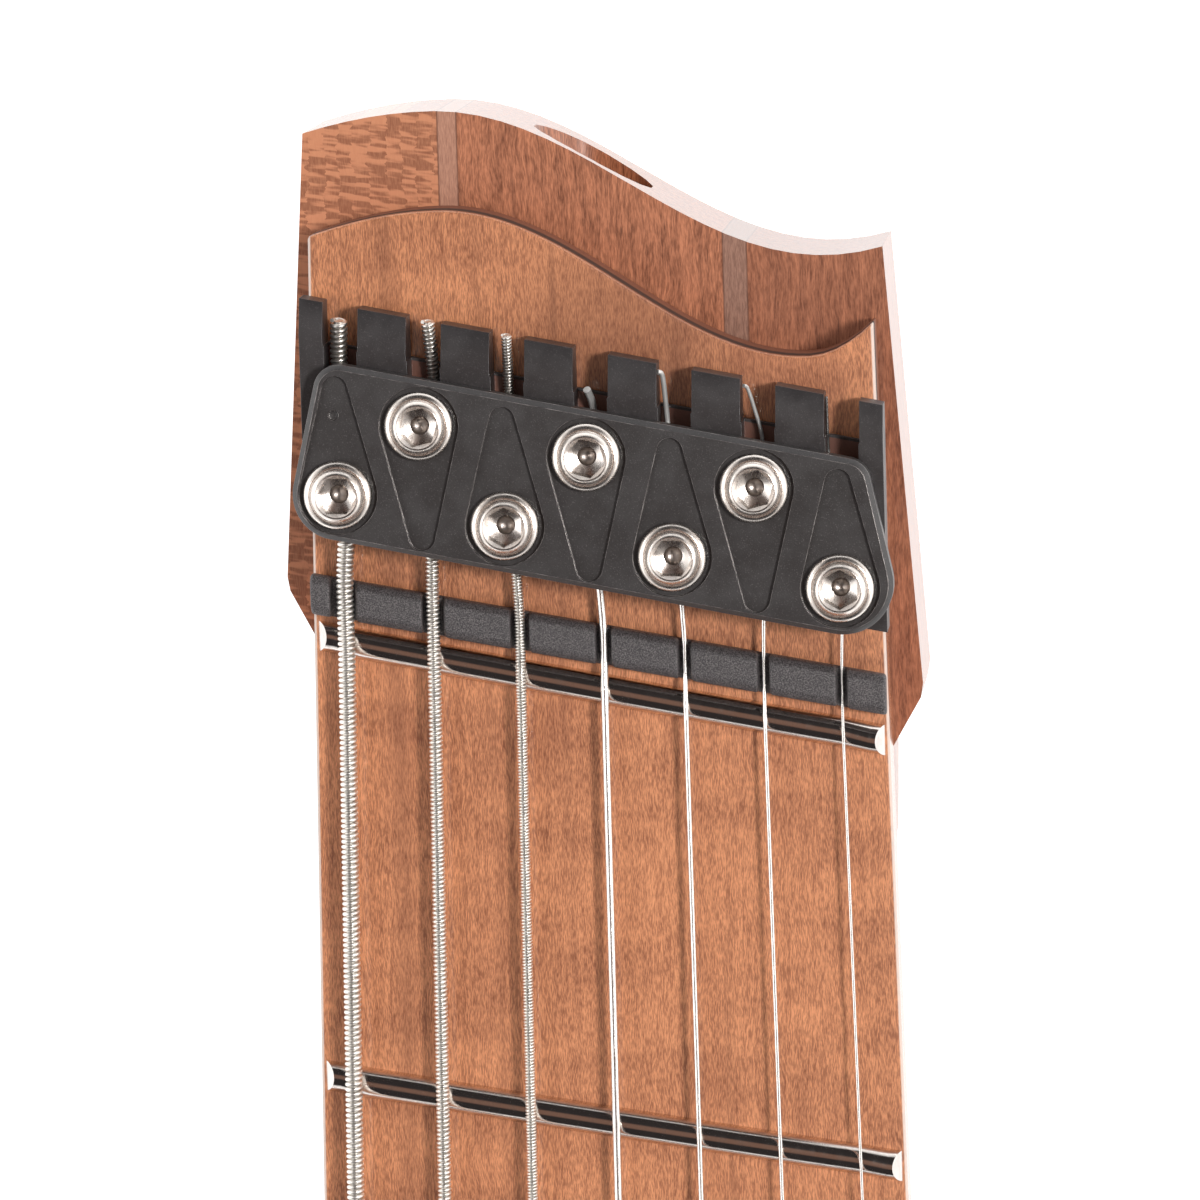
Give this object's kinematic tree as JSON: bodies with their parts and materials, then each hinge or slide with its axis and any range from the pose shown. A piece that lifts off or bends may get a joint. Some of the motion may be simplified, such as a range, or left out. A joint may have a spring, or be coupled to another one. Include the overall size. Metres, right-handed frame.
{
  "type": "headless electric guitar",
  "caption": "Headless electric guitar with fanned frets, a string lock at the head end, bridge tuners behind the saddles, a bolted neck and a contoured body.",
  "frame": {"origin": "flat face of the body's back, below the middle of the bridge line", "axes": "+Y along the strings to the head, +X to the treble side, +Z from the body's back to the strings"},
  "size_m": [0.3006, 0.7903, 0.0615],
  "materials": {
    "roasted_maple": "satin roasted maple with laminate stripes",
    "roasted_board": "satin roasted maple",
    "body_wood": "satin",
    "figured_cap": "satin",
    "black_anodised": "matt black anodised",
    "black_graphite": "speckled graphite",
    "black_plastic": "matt",
    "stainless": "polished stainless steel",
    "string_steel": "bright wire",
    "brass": "plain"
  },
  "bodies": {
    "guitar": {"neck": "roasted_maple", "fretboard": "roasted_board", "truss_rod": "stainless", "string_guide_nut": "black_graphite", "lock_base": "black_anodised", "clamp_plate": "black_anodised", "body": "body_wood", "body_top": "figured_cap", "neck_plate": "black_anodised", "strap_button_horn": "black_anodised", "strap_button_tail": "black_anodised", "rear_cover": "black_plastic", "neck_pickup": "black_plastic", "bridge_pickup": "black_plastic", "volume_pot": "stainless", "tone_pot": "stainless", "selector_switch": "black_anodised", "output_jack": "black_anodised", "bridge_base": "black_anodised", "string_1": "string_steel", "string_2": "string_steel", "string_3": "string_steel", "string_4": "string_steel", "string_5": "string_steel", "string_6": "string_steel", "string_7": "string_steel"},
    "truss_nut": {"truss_nut": "stainless"},
    "volume_control": {"volume_shaft": "brass", "volume_knob": "black_anodised"},
    "tone_control": {"tone_shaft": "brass", "tone_knob": "black_anodised"},
    "selector_lever": {"selector_lever": "black_anodised"},
    "clamp_screw_1": {"clamp_screw_1": "stainless"},
    "saddle_1": {"saddle_1": "black_anodised"},
    "puller_1": {"puller_1": "black_anodised"},
    "tuner_knob_1": {"tuner_knob_1": "black_anodised"},
    "clamp_screw_2": {"clamp_screw_2": "stainless"},
    "saddle_2": {"saddle_2": "black_anodised"},
    "puller_2": {"puller_2": "black_anodised"},
    "tuner_knob_2": {"tuner_knob_2": "black_anodised"},
    "clamp_screw_3": {"clamp_screw_3": "stainless"},
    "saddle_3": {"saddle_3": "black_anodised"},
    "puller_3": {"puller_3": "black_anodised"},
    "tuner_knob_3": {"tuner_knob_3": "black_anodised"},
    "clamp_screw_4": {"clamp_screw_4": "stainless"},
    "saddle_4": {"saddle_4": "black_anodised"},
    "puller_4": {"puller_4": "black_anodised"},
    "tuner_knob_4": {"tuner_knob_4": "black_anodised"},
    "clamp_screw_5": {"clamp_screw_5": "stainless"},
    "saddle_5": {"saddle_5": "black_anodised"},
    "puller_5": {"puller_5": "black_anodised"},
    "tuner_knob_5": {"tuner_knob_5": "black_anodised"},
    "clamp_screw_6": {"clamp_screw_6": "stainless"},
    "saddle_6": {"saddle_6": "black_anodised"},
    "puller_6": {"puller_6": "black_anodised"},
    "tuner_knob_6": {"tuner_knob_6": "black_anodised"},
    "clamp_screw_7": {"clamp_screw_7": "stainless"},
    "saddle_7": {"saddle_7": "black_anodised"},
    "puller_7": {"puller_7": "black_anodised"},
    "tuner_knob_7": {"tuner_knob_7": "black_anodised"}
  },
  "joints": [
    {"name": "truss_nut_turn", "type": "hinge", "parent": "guitar", "child": "truss_nut", "pos_m": [0, 0.66294, 0.039], "axis": [0, 1, 0], "range_deg": [-360, 360]},
    {"name": "clamp_screw_1_turn", "type": "hinge", "parent": "guitar", "child": "clamp_screw_1", "pos_m": [-0.0203, 0.6746, 0.052], "axis": [0, 0, 1], "range_deg": [0, 720]},
    {"name": "clamp_screw_2_turn", "type": "hinge", "parent": "guitar", "child": "clamp_screw_2", "pos_m": [-0.0134, 0.68019, 0.052], "axis": [0, 0, 1], "range_deg": [0, 720]},
    {"name": "clamp_screw_3_turn", "type": "hinge", "parent": "guitar", "child": "clamp_screw_3", "pos_m": [-0.0065, 0.67177, 0.052], "axis": [0, 0, 1], "range_deg": [0, 720]},
    {"name": "clamp_screw_4_turn", "type": "hinge", "parent": "guitar", "child": "clamp_screw_4", "pos_m": [0.0004, 0.67736, 0.052], "axis": [0, 0, 1], "range_deg": [0, 720]},
    {"name": "clamp_screw_5_turn", "type": "hinge", "parent": "guitar", "child": "clamp_screw_5", "pos_m": [0.0073, 0.66894, 0.052], "axis": [0, 0, 1], "range_deg": [0, 720]},
    {"name": "clamp_screw_6_turn", "type": "hinge", "parent": "guitar", "child": "clamp_screw_6", "pos_m": [0.0142, 0.67453, 0.052], "axis": [0, 0, 1], "range_deg": [0, 720]},
    {"name": "clamp_screw_7_turn", "type": "hinge", "parent": "guitar", "child": "clamp_screw_7", "pos_m": [0.0211, 0.66611, 0.052], "axis": [0, 0, 1], "range_deg": [0, 720]},
    {"name": "saddle_1_slide", "type": "slide", "parent": "guitar", "child": "saddle_1", "axis": [0, 1, 0], "range_m": [-0.0035, 0.0035], "deforming": ["string_1"]},
    {"name": "tuner_1_turn", "type": "hinge", "parent": "guitar", "child": "tuner_knob_1", "pos_m": [-0.0315, -0.04303, 0.0491], "axis": [0, 1, 0], "range_deg": [-2160, 2160], "deforming": ["string_1"]},
    {"name": "tuner_1_pull", "type": "slide", "parent": "guitar", "child": "puller_1", "axis": [0, 1, 0], "range_m": [-0.00476, 0.00476], "deforming": ["string_1"]},
    {"name": "saddle_2_slide", "type": "slide", "parent": "guitar", "child": "saddle_2", "axis": [0, 1, 0], "range_m": [-0.0035, 0.0035], "deforming": ["string_2"]},
    {"name": "tuner_2_turn", "type": "hinge", "parent": "guitar", "child": "tuner_knob_2", "pos_m": [-0.021, -0.04125, 0.0491], "axis": [0, 1, 0], "range_deg": [-2160, 2160], "deforming": ["string_2"]},
    {"name": "tuner_2_pull", "type": "slide", "parent": "guitar", "child": "puller_2", "axis": [0, 1, 0], "range_m": [-0.00476, 0.00476], "deforming": ["string_2"]},
    {"name": "saddle_3_slide", "type": "slide", "parent": "guitar", "child": "saddle_3", "axis": [0, 1, 0], "range_m": [-0.0035, 0.0035], "deforming": ["string_3"]},
    {"name": "tuner_3_turn", "type": "hinge", "parent": "guitar", "child": "tuner_knob_3", "pos_m": [-0.0105, -0.03947, 0.0491], "axis": [0, 1, 0], "range_deg": [-2160, 2160], "deforming": ["string_3"]},
    {"name": "tuner_3_pull", "type": "slide", "parent": "guitar", "child": "puller_3", "axis": [0, 1, 0], "range_m": [-0.00476, 0.00476], "deforming": ["string_3"]},
    {"name": "saddle_4_slide", "type": "slide", "parent": "guitar", "child": "saddle_4", "axis": [0, 1, 0], "range_m": [-0.0035, 0.0035], "deforming": ["string_4"]},
    {"name": "tuner_4_turn", "type": "hinge", "parent": "guitar", "child": "tuner_knob_4", "pos_m": [0, -0.03769, 0.0491], "axis": [0, 1, 0], "range_deg": [-2160, 2160], "deforming": ["string_4"]},
    {"name": "tuner_4_pull", "type": "slide", "parent": "guitar", "child": "puller_4", "axis": [0, 1, 0], "range_m": [-0.00476, 0.00476], "deforming": ["string_4"]},
    {"name": "saddle_5_slide", "type": "slide", "parent": "guitar", "child": "saddle_5", "axis": [0, 1, 0], "range_m": [-0.0035, 0.0035], "deforming": ["string_5"]},
    {"name": "tuner_5_turn", "type": "hinge", "parent": "guitar", "child": "tuner_knob_5", "pos_m": [0.0105, -0.0359, 0.0491], "axis": [0, 1, 0], "range_deg": [-2160, 2160], "deforming": ["string_5"]},
    {"name": "tuner_5_pull", "type": "slide", "parent": "guitar", "child": "puller_5", "axis": [0, 1, 0], "range_m": [-0.00476, 0.00476], "deforming": ["string_5"]},
    {"name": "saddle_6_slide", "type": "slide", "parent": "guitar", "child": "saddle_6", "axis": [0, 1, 0], "range_m": [-0.0035, 0.0035], "deforming": ["string_6"]},
    {"name": "tuner_6_turn", "type": "hinge", "parent": "guitar", "child": "tuner_knob_6", "pos_m": [0.021, -0.03412, 0.0491], "axis": [0, 1, 0], "range_deg": [-2160, 2160], "deforming": ["string_6"]},
    {"name": "tuner_6_pull", "type": "slide", "parent": "guitar", "child": "puller_6", "axis": [0, 1, 0], "range_m": [-0.00476, 0.00476], "deforming": ["string_6"]},
    {"name": "saddle_7_slide", "type": "slide", "parent": "guitar", "child": "saddle_7", "axis": [0, 1, 0], "range_m": [-0.0035, 0.0035], "deforming": ["string_7"]},
    {"name": "tuner_7_turn", "type": "hinge", "parent": "guitar", "child": "tuner_knob_7", "pos_m": [0.0315, -0.03234, 0.0491], "axis": [0, 1, 0], "range_deg": [-2160, 2160], "deforming": ["string_7"]},
    {"name": "tuner_7_pull", "type": "slide", "parent": "guitar", "child": "puller_7", "axis": [0, 1, 0], "range_m": [-0.00476, 0.00476], "deforming": ["string_7"]},
    {"name": "volume_turn", "type": "hinge", "parent": "guitar", "child": "volume_control", "pos_m": [0.088, 0.03, 0.0423], "axis": [0, 0, 1], "range_deg": [-270, 0]},
    {"name": "tone_turn", "type": "hinge", "parent": "guitar", "child": "tone_control", "pos_m": [0.104, -0.01, 0.0423], "axis": [0, 0, 1], "range_deg": [-270, 0]},
    {"name": "selector_tilt", "type": "hinge", "parent": "guitar", "child": "selector_lever", "pos_m": [0.074, 0.066, 0.0425], "axis": [1, 0, 0], "range_deg": [-12, 12]}
  ],
  "couplings": [
    {"joint": "tuner_1_turn", "follows": "tuner_1_pull", "rad_per_m": -7854},
    {"joint": "tuner_2_turn", "follows": "tuner_2_pull", "rad_per_m": -7854},
    {"joint": "tuner_3_turn", "follows": "tuner_3_pull", "rad_per_m": -7854},
    {"joint": "tuner_4_turn", "follows": "tuner_4_pull", "rad_per_m": -7854},
    {"joint": "tuner_5_turn", "follows": "tuner_5_pull", "rad_per_m": -7854},
    {"joint": "tuner_6_turn", "follows": "tuner_6_pull", "rad_per_m": -7854},
    {"joint": "tuner_7_turn", "follows": "tuner_7_pull", "rad_per_m": -7854}
  ]
}
